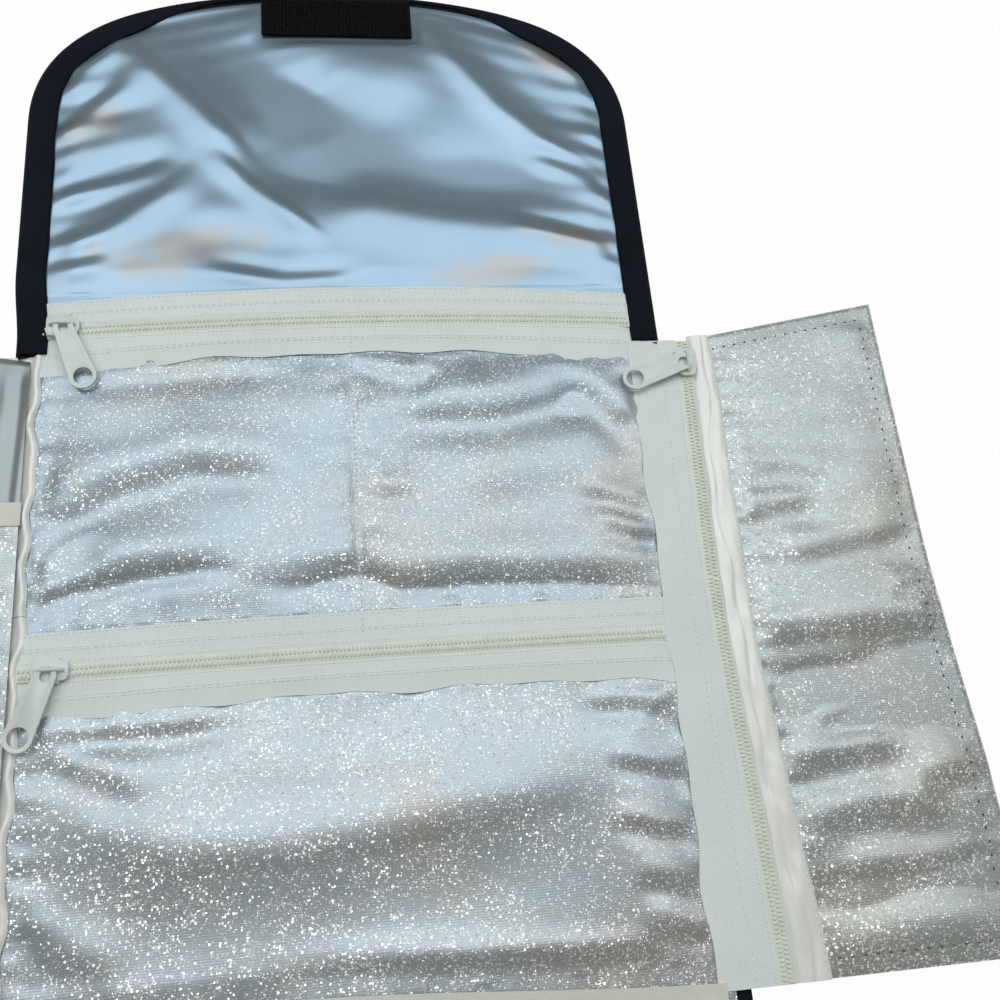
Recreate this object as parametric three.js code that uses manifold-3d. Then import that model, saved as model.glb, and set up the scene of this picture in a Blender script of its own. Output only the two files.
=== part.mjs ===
// A folding jewelry roll lying open: a padded centre, a lower third, a closing flap and two side wings,
// with three coil zips. Millimetres, +Z up, the roll lies on z = 0 with its inside facing up.
import * as THREE from 'three';
import { mergeVertices } from 'three/addons/utils/BufferGeometryUtils.js';
import Module from 'manifold-3d';

const wasm = await Module();
wasm.setup();

// Lengths of the three thirds along Y, from fold line to fold line
const flapLength = 118;
const middleLength = 151;
const lowerLength = 147;
// Widths across X
const panelHalfWidth = 112;
const bindingWidth = 11.5;
const bindingOverhang = 8.5;
const wingWidth = 100;
// Layers from the outside up
const coverThick = 1.2;
const paddingThick = 2.2;
const liningThick = 0.6;
const pocketThick = 1.0;
const tapeThick = 0.6;
const facingThick = 0.8;
// Folds: half widths of the soft strips
const flapFoldHalf = 8;
const lowerFoldHalf = 5;
// Flap outline
const flapShoulder = 68;
const sideFullness = 0.69;
const tipFullness = 0.62;
const flapTipBinding = 4;
// Hook and loop closure
const tabWidth = 63;
const tabLength = 25;
const tabThick = 2;
// Zips
const zipWidth = 28;
const coilWidth = 6;
const coilHeight = 2.5;
const coilSink = 0.7;
const tapeLap = 3;
const zip1Below = 29;
const bottomBand = 18;
const bottomBinding = 5;
const zipEndMargin = 11;
// Wings
const wingDrop = 12;
const wingTopRise = 18;
const gussetWidth = 7;
const coilFromSeam = 17;
const facingWidth = 8.7;
const slipPocketDrop = 55;
const hemWidth = 9;
// Sliders and pulls
const sliderLength = 10;
const sliderWall = 1;
const sliderFromWingTop = 8;
const barrelRadius = 1.3;
const barrelLength = 4.4;
const pinRadius = 0.6;
const pinClearance = 0.25;
const lugThick = 1.2;
const lugWidth = 2.2;
const lugAbovePin = 0.9;
const pullLength = 28;
const pullThick = 1.2;
const pullNeckHalf = 1.8;
const pullEndRadius = 4.1;
const pullHoleRadius = 2.3;
const pullDroop = 4;
const zip1PullSkew = 20;
const zip2PullSkew = -20;
const wingPullSkew = 15;
// Clearances and roundness
const gap = 0.3;
const arcSteps = 10;
const roundSides = 16;

// Places along Y, with the whole length centred on the origin
const tipY = (flapLength + middleLength + lowerLength) / 2;
const flapFoldY = tipY - flapLength;
const lowerFoldY = flapFoldY - middleLength;
const bottomY = lowerFoldY - lowerLength;
const zip1Top = flapFoldY - zip1Below;
const zip1Bottom = zip1Top - zipWidth;
const zip2Top = lowerFoldY - lowerFoldHalf;
const zip2Bottom = zip2Top - zipWidth;
const bandBottom = bottomY + bottomBinding;
const wingTop = zip1Bottom;
const wingBottom = bottomY + wingDrop;
const bindingEnd = zip1Bottom + tapeLap + gap;
const slipPocketTop = wingTop - slipPocketDrop;

// Places across X
const bindingOuter = panelHalfWidth + bindingOverhang;
const bindingInner = bindingOuter - bindingWidth;
const wingInner = panelHalfWidth + gussetWidth + gap;
const wingOuter = panelHalfWidth + wingWidth;
const wingCoil = panelHalfWidth + coilFromSeam;
const facingInner = wingCoil + coilWidth / 2;
const facingOuter = facingInner + facingWidth;
const zipHalfLength = bindingInner - gap;

// Heights
const paddingBase = coverThick;
const liningBase = paddingBase + paddingThick;
const pocketBase = liningBase + liningThick;
const tapeBase = pocketBase + pocketThick;
const tapeTop = tapeBase + tapeThick;
const coilBase = tapeBase - coilSink;
const coilTop = coilBase + coilHeight;
const sliderTop = coilTop + gap + sliderWall;
const pinHeight = sliderTop + barrelRadius + gap;

const finishes = {
  cover: { color: '#10141f', roughness: 0.85, metalness: 0 },
  padding: { color: '#d8d4c8', roughness: 0.95, metalness: 0 },
  satin: { color: '#a9bccb', roughness: 0.35, metalness: 0 },
  glitter: { color: '#c3c9c8', roughness: 0.4, metalness: 0.1 },
  tape: { color: '#d6dad0', roughness: 0.8, metalness: 0 },
  coil: { color: '#dcdcc6', roughness: 0.5, metalness: 0 },
  facing: { color: '#ece9e2', roughness: 0.4, metalness: 0 },
  hook: { color: '#08080c', roughness: 0.95, metalness: 0 },
  slider: { color: '#d2d8d0', roughness: 0.4, metalness: 0.3 },
};

const roll = new THREE.Group();

function addPiece(name, finish, geometry) {
  const mesh = new THREE.Mesh(geometry, new THREE.MeshStandardMaterial(finishes[finish]));
  mesh.name = name;
  roll.add(mesh);
  return mesh;
}

function outline(points) {
  return new THREE.Shape(points.map(([x, y]) => new THREE.Vector2(x, y)));
}

function rectangle(x0, x1, y0, y1) {
  return outline([[x0, y0], [x1, y0], [x1, y1], [x0, y1]]);
}

// A flat layer: an outline raised from one height to another
function layer(shape, base, top) {
  const options = { depth: top - base, bevelEnabled: false, curveSegments: arcSteps };
  return new THREE.ExtrudeGeometry(shape, options).translate(0, 0, base);
}

function solidOf(geometry) {
  const bare = geometry.clone();
  bare.deleteAttribute('normal');
  bare.deleteAttribute('uv');
  const merged = mergeVertices(bare, 1e-4);
  const vertProperties = new Float32Array(merged.attributes.position.array);
  const triVerts = new Uint32Array(merged.index.array);
  return new wasm.Manifold(new wasm.Mesh({ numProp: 3, vertProperties, triVerts }));
}

function geometryOf(solid) {
  const mesh = solid.getMesh();
  const geometry = new THREE.BufferGeometry();
  geometry.setAttribute('position', new THREE.BufferAttribute(mesh.vertProperties, 3));
  geometry.setIndex(new THREE.BufferAttribute(mesh.triVerts, 1));
  return geometry;
}

// A round bar along X, centred on the origin
function bar(radius, length) {
  return new THREE.CylinderGeometry(radius, radius, length, roundSides).rotateZ(Math.PI / 2);
}

function block(x, y, z0, z1) {
  return new THREE.BoxGeometry(x, y, z1 - z0).translate(0, 0, (z0 + z1) / 2);
}

// One way along the flap's edge: up a side, round the full curve over the tip and down the other side
const flapStart = flapFoldY + flapFoldHalf;
const shoulderY = tipY - flapShoulder;

function flapEdge(path, half, tip, forward) {
  const side = forward ? half : -half;
  const sideHandle = shoulderY + sideFullness * (tip - shoulderY);
  path.lineTo(side, shoulderY);
  path.bezierCurveTo(side, sideHandle, side * tipFullness, tip, 0, tip);
  path.bezierCurveTo(-side * tipFullness, tip, -side, sideHandle, -side, shoulderY);
  path.lineTo(-side, flapStart);
}

function flapInside() {
  const shape = new THREE.Shape();
  shape.moveTo(-bindingInner, flapStart);
  shape.lineTo(bindingInner, flapStart);
  flapEdge(shape, bindingInner, tipY - flapTipBinding, true);
  return shape;
}

function flapRim() {
  const shape = new THREE.Shape();
  shape.moveTo(bindingInner, flapStart);
  shape.lineTo(bindingOuter, flapStart);
  flapEdge(shape, bindingOuter, tipY, true);
  shape.lineTo(-bindingInner, flapStart);
  flapEdge(shape, bindingInner, tipY - flapTipBinding, false);
  return shape;
}

// Centre: cover, padding and lining share one T-shaped outline between the two fold strips
const centerTop = flapFoldY - flapFoldHalf;
const centerBottom = lowerFoldY + lowerFoldHalf;
const centerOutline = outline([
  [-panelHalfWidth, centerBottom],
  [panelHalfWidth, centerBottom],
  [panelHalfWidth, bindingEnd - gap],
  [bindingInner, bindingEnd - gap],
  [bindingInner, centerTop],
  [-bindingInner, centerTop],
  [-bindingInner, bindingEnd - gap],
  [-panelHalfWidth, bindingEnd - gap],
]);
addPiece('center_cover', 'cover', layer(centerOutline, 0, paddingBase));
addPiece('center_padding', 'padding', layer(centerOutline, paddingBase, liningBase));
addPiece('center_lining', 'satin', layer(centerOutline, liningBase, pocketBase));
const pocket1Shape = rectangle(-panelHalfWidth, panelHalfWidth, centerBottom, zip1Bottom + tapeLap);
addPiece('pocket1_panel', 'glitter', layer(pocket1Shape, pocketBase, tapeBase));
for (const [side, sign] of [['left', -1], ['right', 1]]) {
  const edges = [sign * bindingInner, sign * bindingOuter].sort((a, b) => a - b);
  const strip = rectangle(edges[0], edges[1], bindingEnd, centerTop);
  addPiece(`center_binding_${side}`, 'cover', layer(strip, 0, tapeBase));
}
const foldFlap = rectangle(-bindingOuter, bindingOuter, centerTop, flapStart);
addPiece('flap_fold_spine', 'satin', layer(foldFlap, 0, tapeBase));
const foldLower = rectangle(-panelHalfWidth, panelHalfWidth, zip2Top, centerBottom);
addPiece('lower_fold_spine', 'glitter', layer(foldLower, 0, tapeBase));

// Flap: cover, padding, satin lining, the bound rim and the hook tab at its tip
addPiece('flap_cover', 'cover', layer(flapInside(), 0, paddingBase));
addPiece('flap_padding', 'padding', layer(flapInside(), paddingBase, liningBase));
addPiece('flap_lining', 'satin', layer(flapInside(), liningBase, tapeBase));
addPiece('flap_binding', 'cover', layer(flapRim(), 0, tapeBase));
const tabTop = tipY - flapTipBinding;
const tabShape = rectangle(-tabWidth / 2, tabWidth / 2, tabTop - tabLength, tabTop);
addPiece('hook_tab', 'hook', layer(tabShape, tapeBase, tapeBase + tabThick));

// Lower third: its cover has a window that holds the loop patch where the closed flap's tab lands
const tabFromFold = tabTop - tabLength / 2 - flapFoldY;
const patchY = lowerFoldY - (middleLength - tabFromFold);
const lowerShape = () => rectangle(-panelHalfWidth, panelHalfWidth, bandBottom, zip2Top);
const coverShape = lowerShape();
const windowHalf = [tabWidth / 2 + gap, tabLength / 2 + gap];
coverShape.holes.push(rectangle(-windowHalf[0], windowHalf[0], patchY - windowHalf[1], patchY + windowHalf[1]));
addPiece('lower_cover', 'cover', layer(coverShape, 0, paddingBase));
addPiece('lower_padding', 'padding', layer(lowerShape(), paddingBase, liningBase));
addPiece('lower_lining', 'satin', layer(lowerShape(), liningBase, pocketBase));
const patchEdge = [patchY - tabLength / 2, patchY + tabLength / 2];
const patchShape = rectangle(-tabWidth / 2, tabWidth / 2, patchEdge[0], patchEdge[1]);
addPiece('loop_patch', 'hook', layer(patchShape, 0, paddingBase));
const pocket2Shape = rectangle(-panelHalfWidth, panelHalfWidth, bandBottom, zip2Bottom + tapeLap);
addPiece('pocket2_panel', 'glitter', layer(pocket2Shape, pocketBase, tapeBase));
const bandShape = rectangle(-zipHalfLength, zipHalfLength, bandBottom, bandBottom + bottomBand);
addPiece('bottom_facing', 'tape', layer(bandShape, tapeBase, tapeTop));
const bottomShape = rectangle(-panelHalfWidth, panelHalfWidth, bottomY, bandBottom);
addPiece('bottom_binding', 'cover', layer(bottomShape, 0, tapeBase));

// A zip across the roll: two tapes and the closed coil between them
function crossZip(name, top) {
  const coilY = top - zipWidth / 2;
  const half = coilWidth / 2;
  const across = (y0, y1) => rectangle(-zipHalfLength, zipHalfLength, y0, y1);
  addPiece(`${name}_upper_tape`, 'tape', layer(across(coilY + half, top), tapeBase, tapeTop));
  addPiece(`${name}_lower_tape`, 'tape', layer(across(top - zipWidth, coilY - half), tapeBase, tapeTop));
  addPiece(`${name}_coil`, 'coil', layer(across(coilY - half, coilY + half), coilBase, coilTop));
  return coilY;
}

// A slider over the coil, along local X, with two lugs that hold the pull's pin
function sliderSolid() {
  const width = coilWidth + 2 * (gap + sliderWall);
  const hollow = block(sliderLength + 2, coilWidth + 2 * gap, tapeTop - 1, coilTop + gap);
  const shell = block(sliderLength, width, tapeTop + gap, sliderTop);
  let body = solidOf(shell).subtract(solidOf(hollow));
  const lugX = barrelLength / 2 + gap + lugThick / 2;
  for (const sign of [-1, 1]) {
    const lug = block(lugThick, lugWidth, sliderTop - sliderWall / 2, pinHeight + lugAbovePin);
    body = body.add(solidOf(lug.translate(sign * lugX, 0, 0)));
  }
  const pin = bar(pinRadius, 2 * lugX).translate(0, 0, pinHeight);
  return geometryOf(body.add(solidOf(pin)));
}

// A pull: a tapered plate with a round end and a hole, rolled round the pin at its other end
function pullSolid(skew) {
  const endY = -(pullLength - pullEndRadius);
  const plate = new THREE.Shape();
  plate.moveTo(pullNeckHalf, 0);
  plate.lineTo(-pullNeckHalf, 0);
  plate.lineTo(-pullEndRadius, endY);
  plate.absarc(0, endY, pullEndRadius, Math.PI, 2 * Math.PI, false);
  plate.lineTo(pullNeckHalf, 0);
  const hole = new THREE.Path();
  hole.absarc(0, endY, pullHoleRadius, 0, 2 * Math.PI, true);
  plate.holes.push(hole);
  const flat = layer(plate, -pullThick / 2, pullThick / 2).rotateZ(THREE.MathUtils.degToRad(skew));
  const rolled = solidOf(flat).add(solidOf(bar(barrelRadius, barrelLength)));
  const bore = solidOf(bar(pinRadius + pinClearance, barrelLength + 2));
  return geometryOf(rolled.subtract(bore));
}

// A slider and its pull, placed on a coil and turned to run along it
function addSlider(name, x, y, turn, skew) {
  const slider = addPiece(`${name}_slider`, 'slider', sliderSolid());
  slider.position.set(x, y, 0);
  slider.rotation.z = turn;
  const carrier = new THREE.Group();
  carrier.position.set(x, y, pinHeight);
  carrier.rotation.z = turn;
  const pull = addPiece(`${name}_pull`, 'slider', pullSolid(skew));
  pull.rotation.x = THREE.MathUtils.degToRad(pullDroop);
  carrier.add(pull);
  roll.add(carrier);
}

const zip1CoilY = crossZip('zip1', zip1Top);
const zip2CoilY = crossZip('zip2', zip2Top);
const sliderX = -(panelHalfWidth - zipEndMargin);
addSlider('zip1', sliderX, zip1CoilY, 0, zip1PullSkew);
addSlider('zip2', sliderX, zip2CoilY, 0, zip2PullSkew);
addSlider('right_zip', wingCoil, wingTop - sliderFromWingTop, -Math.PI / 2, wingPullSkew);

// Wings: the top edge rises outwards, and each wing is cut in two along the lower fold line
const risePerWidth = wingTopRise / wingWidth;
const wingTopAt = (x) => wingTop + risePerWidth * (x - panelHalfWidth);

function wingStrip(sign, x0, x1, half, topLimit = Infinity) {
  const low = half === 'upper' ? lowerFoldY + gap / 2 : wingBottom;
  const high = half === 'upper' ? null : lowerFoldY - gap / 2;
  const topAt = (x) => (high === null ? Math.min(wingTopAt(x), topLimit) : high);
  const points = [[x0, low], [x1, low], [x1, topAt(x1)], [x0, topAt(x0)]];
  const turned = points.map(([x, y]) => [sign * x, y]);
  return outline(sign > 0 ? turned : turned.reverse());
}

for (const half of ['upper', 'lower']) {
  const right = (x0, x1) => wingStrip(1, x0, x1, half);
  const node = (piece) => `right_wing_${half}_${piece}`;
  addPiece(node('cover'), 'cover', layer(right(wingInner, wingOuter), 0, paddingBase));
  addPiece(node('lining'), 'satin', layer(right(wingInner, wingOuter), paddingBase, pocketBase));
  addPiece(node('panel'), 'glitter', layer(right(facingOuter, wingOuter), pocketBase, tapeBase));
  const outerTape = layer(right(facingInner, facingOuter), pocketBase, pocketBase + tapeThick);
  addPiece(`right_zip_outer_tape_${half}`, 'tape', outerTape);
  const facingBase = pocketBase + tapeThick;
  const facing = layer(right(facingInner, facingOuter), facingBase, facingBase + facingThick);
  addPiece(node('facing'), 'facing', facing);
  const coil = layer(right(wingCoil - coilWidth / 2, facingInner), coilBase, coilTop);
  addPiece(`right_zip_coil_${half}`, 'coil', coil);
  const innerTape = wingStrip(1, bindingInner, wingCoil - coilWidth / 2, half, wingTop);
  addPiece(`right_zip_inner_tape_${half}`, 'tape', layer(innerTape, tapeBase, tapeTop));
}

for (const half of ['upper', 'lower']) {
  const left = (x0, x1, limit) => wingStrip(-1, x0, x1, half, limit);
  const node = (piece) => `left_wing_${half}_${piece}`;
  addPiece(node('cover'), 'cover', layer(left(wingInner, wingOuter), 0, paddingBase));
  addPiece(node('lining'), 'satin', layer(left(wingInner, wingOuter), paddingBase, pocketBase));
  const slip = left(wingInner, wingOuter, slipPocketTop);
  addPiece(`left_slip_pocket_${half}`, 'glitter', layer(slip, pocketBase, tapeBase));
  const gusset = left(bindingInner, wingCoil - coilWidth / 2, wingTop);
  addPiece(`left_wing_gusset_${half}`, 'facing', layer(gusset, tapeBase, tapeTop));
}
const hem = rectangle(-wingOuter, -(wingCoil - coilWidth / 2 + gap), slipPocketTop - hemWidth, slipPocketTop);
addPiece('left_slip_pocket_hem', 'facing', layer(hem, tapeBase, tapeTop));

export default roll;
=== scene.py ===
import math
import bpy
import numpy as np
from mathutils import Matrix, Vector


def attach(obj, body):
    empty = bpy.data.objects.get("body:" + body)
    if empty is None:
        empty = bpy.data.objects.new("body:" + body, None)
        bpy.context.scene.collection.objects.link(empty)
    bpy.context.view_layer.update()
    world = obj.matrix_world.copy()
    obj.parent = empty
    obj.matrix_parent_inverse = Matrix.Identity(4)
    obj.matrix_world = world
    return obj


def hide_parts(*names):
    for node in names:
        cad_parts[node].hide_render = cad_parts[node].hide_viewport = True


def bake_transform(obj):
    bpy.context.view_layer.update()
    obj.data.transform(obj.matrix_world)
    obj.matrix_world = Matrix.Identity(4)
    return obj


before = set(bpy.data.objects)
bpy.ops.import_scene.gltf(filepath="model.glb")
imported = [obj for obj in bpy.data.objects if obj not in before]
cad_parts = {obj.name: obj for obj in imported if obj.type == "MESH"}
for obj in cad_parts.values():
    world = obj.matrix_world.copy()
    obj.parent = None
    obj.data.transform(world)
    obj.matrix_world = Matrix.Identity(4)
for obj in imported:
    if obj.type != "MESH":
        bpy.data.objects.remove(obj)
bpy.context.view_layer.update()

mm = 0.001
fullTurn = 6.28
halves = ("upper", "lower")
print("frame loaded:", len(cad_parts), "nodes")


def deselect():
    bpy.ops.object.select_all(action="DESELECT")


def selectOnly(piece):
    deselect()
    piece.select_set(True)
    bpy.context.view_layer.objects.active = piece


def setMode(mode):
    bpy.ops.object.mode_set(mode=mode)


def applyAll(piece):
    selectOnly(piece)
    for modifier in list(piece.modifiers):
        bpy.ops.object.modifier_apply(modifier=modifier.name)


def named(name):
    piece = bpy.context.object
    piece.name = piece.data.name = name
    return piece


def smoothPiece(piece, degrees):
    selectOnly(piece)
    bpy.ops.object.shade_smooth_by_angle(angle=math.radians(degrees))


def addRounding(piece, width, steps, degrees):
    rounding = piece.modifiers.new("rounding", "BEVEL")
    rounding.width = width
    rounding.segments = steps
    rounding.limit_method = "ANGLE"
    rounding.angle_limit = math.radians(degrees)


def thicken(piece, thickness, bevel=0.0, steps=2):
    solidify = piece.modifiers.new("thickness", "SOLIDIFY")
    solidify.thickness = thickness * mm
    solidify.offset = -1
    if bevel:
        addRounding(piece, bevel * mm, steps, 50)
    applyAll(piece)


# A grid is added and its points are set row by row, in millimetres
def gridPiece(name, place, flip=False):
    points = np.stack(np.broadcast_arrays(*place), axis=2)
    if flip:
        points = points[:, ::-1]
    rows, columns = points.shape[:2]
    deselect()
    bpy.ops.mesh.primitive_grid_add(x_subdivisions=columns - 1, y_subdivisions=rows - 1, size=1)
    piece = named(name)
    piece.data.vertices.foreach_set("co", (points * mm).astype(np.float32).ravel())
    piece.data.update()
    return piece


# A grid whose last line meets its first: a closed tube with capped ends
def tubePiece(name, lines):
    lines = [np.stack(np.broadcast_arrays(*line)) for line in lines]
    piece = gridPiece(name, np.stack(lines + lines[:1], axis=2))
    setMode("EDIT")
    bpy.ops.mesh.select_all(action="SELECT")
    bpy.ops.mesh.remove_doubles(threshold=1e-6)
    bpy.ops.mesh.select_all(action="DESELECT")
    bpy.ops.mesh.select_non_manifold()
    bpy.ops.mesh.edge_face_add()
    bpy.ops.mesh.select_all(action="SELECT")
    bpy.ops.mesh.normals_make_consistent(inside=False)
    setMode("OBJECT")
    return piece


def tipOver(angle):
    setMode("EDIT")
    bpy.ops.mesh.select_all(action="SELECT")
    bpy.ops.transform.rotate(value=angle, orient_axis="X", center_override=(0, 0, 0))
    setMode("OBJECT")


# One small unit copied to many places: each place is x, y, z and a turn about Z
def copies(name, unit, places):
    co = np.empty(len(unit.data.vertices) * 3)
    unit.data.vertices.foreach_get("co", co)
    co = co.reshape(-1, 3)
    faces = [list(p.vertices) for p in unit.data.polygons]
    verts, polys = [], []
    for x, y, z, turn in places:
        c, s = math.cos(turn), math.sin(turn)
        start = len(verts) * len(co)
        turned = np.stack([co[:, 0] * c - co[:, 1] * s, co[:, 0] * s + co[:, 1] * c, co[:, 2]], axis=1)
        verts.append(turned + np.array([x, y, z]) * mm)
        polys += [[start + i for i in f] for f in faces]
    mesh = bpy.data.meshes.new(name)
    mesh.from_pydata(np.concatenate(verts).tolist(), [], polys)
    piece = bpy.data.objects.new(name, mesh)
    bpy.context.scene.collection.objects.link(piece)
    bpy.data.objects.remove(unit)
    smoothPiece(piece, 80)
    return piece


def stitchUnit(length, width, height):
    deselect()
    bpy.ops.mesh.primitive_uv_sphere_add(segments=8, ring_count=5, radius=0.5)
    unit = named("stitch")
    bpy.ops.transform.resize(value=(length * mm, width * mm, height * mm))
    bpy.ops.object.transform_apply(location=False, rotation=False, scale=True)
    return unit


def ease(t):
    t = np.clip(t, 0, 1)
    return t * t * (3 - 2 * t)


# Each fold is a line drawn left to right, its width and its rise: a positive rise lifts the cloth
# behind the line and dips it in front. A last value scales the width behind the line
def foldHeights(x, y, folds):
    height = np.zeros_like(x)
    for line, width, rise, *behind in folds:
        line = np.array(line, float)
        lengths = np.linalg.norm(np.diff(line, axis=0), axis=1)
        nearest = np.full_like(x, 1e9)
        side = np.zeros_like(x)
        along = np.zeros_like(x)
        start = 0.0
        for a, b, length in zip(line[:-1], line[1:], lengths):
            dx, dy = (b - a) / length
            t = np.clip((x - a[0]) * dx + (y - a[1]) * dy, 0, length)
            ox, oy = x - a[0] - t * dx, y - a[1] - t * dy
            away = np.hypot(ox, oy)
            closer = away < nearest
            nearest = np.where(closer, away, nearest)
            side = np.where(closer, np.sign(dx * oy - dy * ox) * away, side)
            along = np.where(closer, (start + t) / lengths.sum(), along)
            start += length
        u = side / np.where(side > 0, width * (behind[0] if behind else 1), width)
        height += rise * u * np.exp(0.5 - u * u / 2) * ease(np.minimum(along, 1 - along) / 0.3)
    return height


# Short gathers that run in from a seam and die out
def gathers(along, away, seed, pitch, reach, rise):
    draw = np.random.default_rng(seed)
    wave = np.zeros_like(along)
    for share in (0.6, 1.0, 1.7):
        phase = draw.uniform(0, fullTurn) + 0.35 * away / pitch
        wave += np.sin(2 * math.pi * along / (pitch * share) + phase) / 1.7
    return rise * wave * np.exp(-np.clip(away, 0, None) / reach)


# Where a folded part's slider comes to lie, the cloth is pressed flat: x, y and how far that reaches
def pressedFlat(x, y, z, floor, room):
    atX, atY, reachX, reachY = room
    share = ease(1.5 - np.hypot((x - atX) / reachX, (y - atY) / reachY))
    return floor + (z - floor) * (1 - 0.92 * share)


# Slow, uneven waves all over a cloth
def softWaves(x, y, seed, length, rise, count=7):
    draw = np.random.default_rng(seed)
    total = np.zeros_like(x)
    for _ in range(count):
        turn, phase = draw.uniform(0, fullTurn), draw.uniform(0, fullTurn)
        size = length * draw.uniform(0.7, 1.5)
        total += np.sin(2 * math.pi * (x * math.cos(turn) + y * math.sin(turn)) / size + phase)
    return rise * total / math.sqrt(count)


# Outputs of other nodes are linked into a node's sockets, and all else is set there
def fill(tree, node, values):
    for key, value in values.items():
        if hasattr(value, "is_output"):
            tree.links.new(value, node.inputs[key])
        else:
            node.inputs[key].default_value = value


def addNode(tree, kind, values, **settings):
    node = tree.nodes.new("ShaderNode" + kind)
    for key, value in settings.items():
        setattr(node, key, value)
    fill(tree, node, values)
    return node


def shade(tree, **sockets):
    values = {key.replace("_", " "): value for key, value in sockets.items()}
    fill(tree, tree.nodes["Principled BSDF"], values)


def newMaterial(name, colour, roughness, **sockets):
    material = bpy.data.materials.new(name)
    material.use_nodes = True
    tree = material.node_tree
    shade(tree, Base_Color=(*colour, 1), Roughness=roughness, **sockets)
    addNode(tree, "TexCoord", {}, name="coords")
    return material, tree


def coordsOf(tree):
    return tree.nodes["coords"].outputs["Object"]


def noise(tree, scale, detail, output="Fac"):
    values = {"Vector": coordsOf(tree), "Scale": scale, "Detail": detail}
    return addNode(tree, "TexNoise", values).outputs[output]


def blendColours(tree, share, first, second):
    first, second = (c if hasattr(c, "is_output") else (*c, 1) for c in (first, second))
    return addNode(tree, "Mix", {0: share, 6: first, 7: second}, data_type="RGBA").outputs[2]


def ramp(tree, value, low, high, toLow=0.0, toHigh=1.0):
    values = {"Value": value, "From Min": low, "From Max": high, "To Min": toLow, "To Max": toHigh}
    return addNode(tree, "MapRange", values).outputs["Result"]


def calc(tree, how, first, second):
    return addNode(tree, "Math", {0: first, 1: second}, operation=how).outputs[0]


def vectorCalc(tree, how, first, second=(0, 0, 0)):
    other = "Scale" if how == "SCALE" else 1
    return addNode(tree, "VectorMath", {0: first, other: second}, operation=how).outputs[0]


# Two crossed sets of threads, as a height for bump
def weaveHeight(tree, across, along):
    bands = []
    for axis, period in (("X", across), ("Y", along)):
        values = {"Vector": coordsOf(tree), "Scale": 2 * math.pi / (20 * period * mm), "Distortion": 0.4,
                  "Detail": 1.0, "Detail Scale": 2.0}
        bands.append(addNode(tree, "TexWave", values, bands_direction=axis).outputs["Fac"])
    return calc(tree, "ADD", *bands)


def addBump(tree, height, strength, distance):
    values = {"Height": height, "Strength": strength, "Distance": distance * mm}
    normal = addNode(tree, "Bump", values).outputs["Normal"]
    shade(tree, Normal=normal)
    return normal


satinLook = {"pale": (0.27, 0.38, 0.49), "deep": (0.23, 0.325, 0.42), "paintedReflectionColour": (0.308, 0.322, 0.333),
             "roughness": 0.32, "metal": 0.74,
             # where painted peach reflections lie in the satin's colour: x, y, reach along, reach across,
             # turn
             "paintedReflectionSpots": ((-56, 81, 34, 11, 6), (-78, 74, 24, 9, -12), (57, 68, 30, 9, 4),
                        (-97, 136, 18, 10, 28), (89, 172, 18, 9, -40), (88, 83, 24, 7, -8))}
ivoryLook = {"pale": (0.83, 0.86, 0.85), "deep": (0.75, 0.77, 0.75), "paintedReflectionSpots": (),
             "roughness": 0.40, "metal": 0.12}
pearlLook = {"pale": (0.29, 0.33, 0.345), "deep": (0.24, 0.28, 0.295), "paintedReflectionSpots": (),
             "roughness": 0.34, "metal": 0.55}


def softSpot(tree, x, y, along, across, turn):
    values = {"Vector": coordsOf(tree), "Location": (x * mm, y * mm, 0.006),
              "Rotation": (0, 0, math.radians(turn)), "Scale": (along * mm, across * mm, 0.02)}
    place = addNode(tree, "Mapping", values, vector_type="TEXTURE").outputs[0]
    return addNode(tree, "TexGradient", {"Vector": place}, gradient_type="SPHERICAL").outputs["Fac"]


def satinMaterial(name, look):
    material, tree = newMaterial(name, look["pale"], look["roughness"], Metallic=look["metal"],
                                 Sheen_Weight=0.15, Sheen_Roughness=0.4)
    cloud = noise(tree, scale=22.0, detail=3.0)
    fine = noise(tree, scale=900.0, detail=2.0)
    tone = ramp(tree, calc(tree, "ADD", cloud, calc(tree, "MULTIPLY", fine, 0.25)), 0.4, 0.85)
    colour = blendColours(tree, tone, look["deep"], look["pale"])
    # Peach spots at fixed places are painted reflection: a warm reflection mixed into the base colour
    if look["paintedReflectionSpots"]:
        paintedReflectionShare = 0.0
        for spot in look["paintedReflectionSpots"]:
            paintedReflectionShare = calc(tree, "MAXIMUM", paintedReflectionShare, softSpot(tree, *spot))
        patch = ramp(tree, noise(tree, scale=90.0, detail=4.0), 0.35, 0.6, 0.5, 1.5)
        paintedReflectionShare = calc(tree, "MULTIPLY", paintedReflectionShare, patch)
        colour = blendColours(tree, ramp(tree, paintedReflectionShare, 0.02, 0.75), colour, look["paintedReflectionColour"])
    rough = ramp(tree, fine, 0.3, 0.7, look["roughness"] - 0.015, look["roughness"] + 0.02)
    shade(tree, Base_Color=colour, Roughness=rough)
    addBump(tree, weaveHeight(tree, 0.5, 0.9), 0.06, 0.08)
    return material


# The flakes lie thinner on the first pocket and coarser on the wings: sizes and how many there are
glitterLooks = {
    "fine": {"silver": (0.34, 0.425, 0.495), "warm": (0.39, 0.40, 0.395),
            "sizes": ((0.74, 0.25), (0.48, 0.36))},
    "mid": {"silver": (0.385, 0.455, 0.51), "warm": (0.43, 0.425, 0.405),
           "sizes": ((0.82, 0.31), (0.50, 0.40))},
    "coarse": {"silver": (0.395, 0.45, 0.47), "warm": (0.425, 0.425, 0.39),
              "sizes": ((0.98, 0.38), (0.56, 0.42))},
}
flakeLook = {"colour": (0.98, 0.98, 0.98), "roughness": 0.27, "metal": 0.45, "clothRoughness": 0.36,
             "clothMetal": 0.58}


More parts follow.
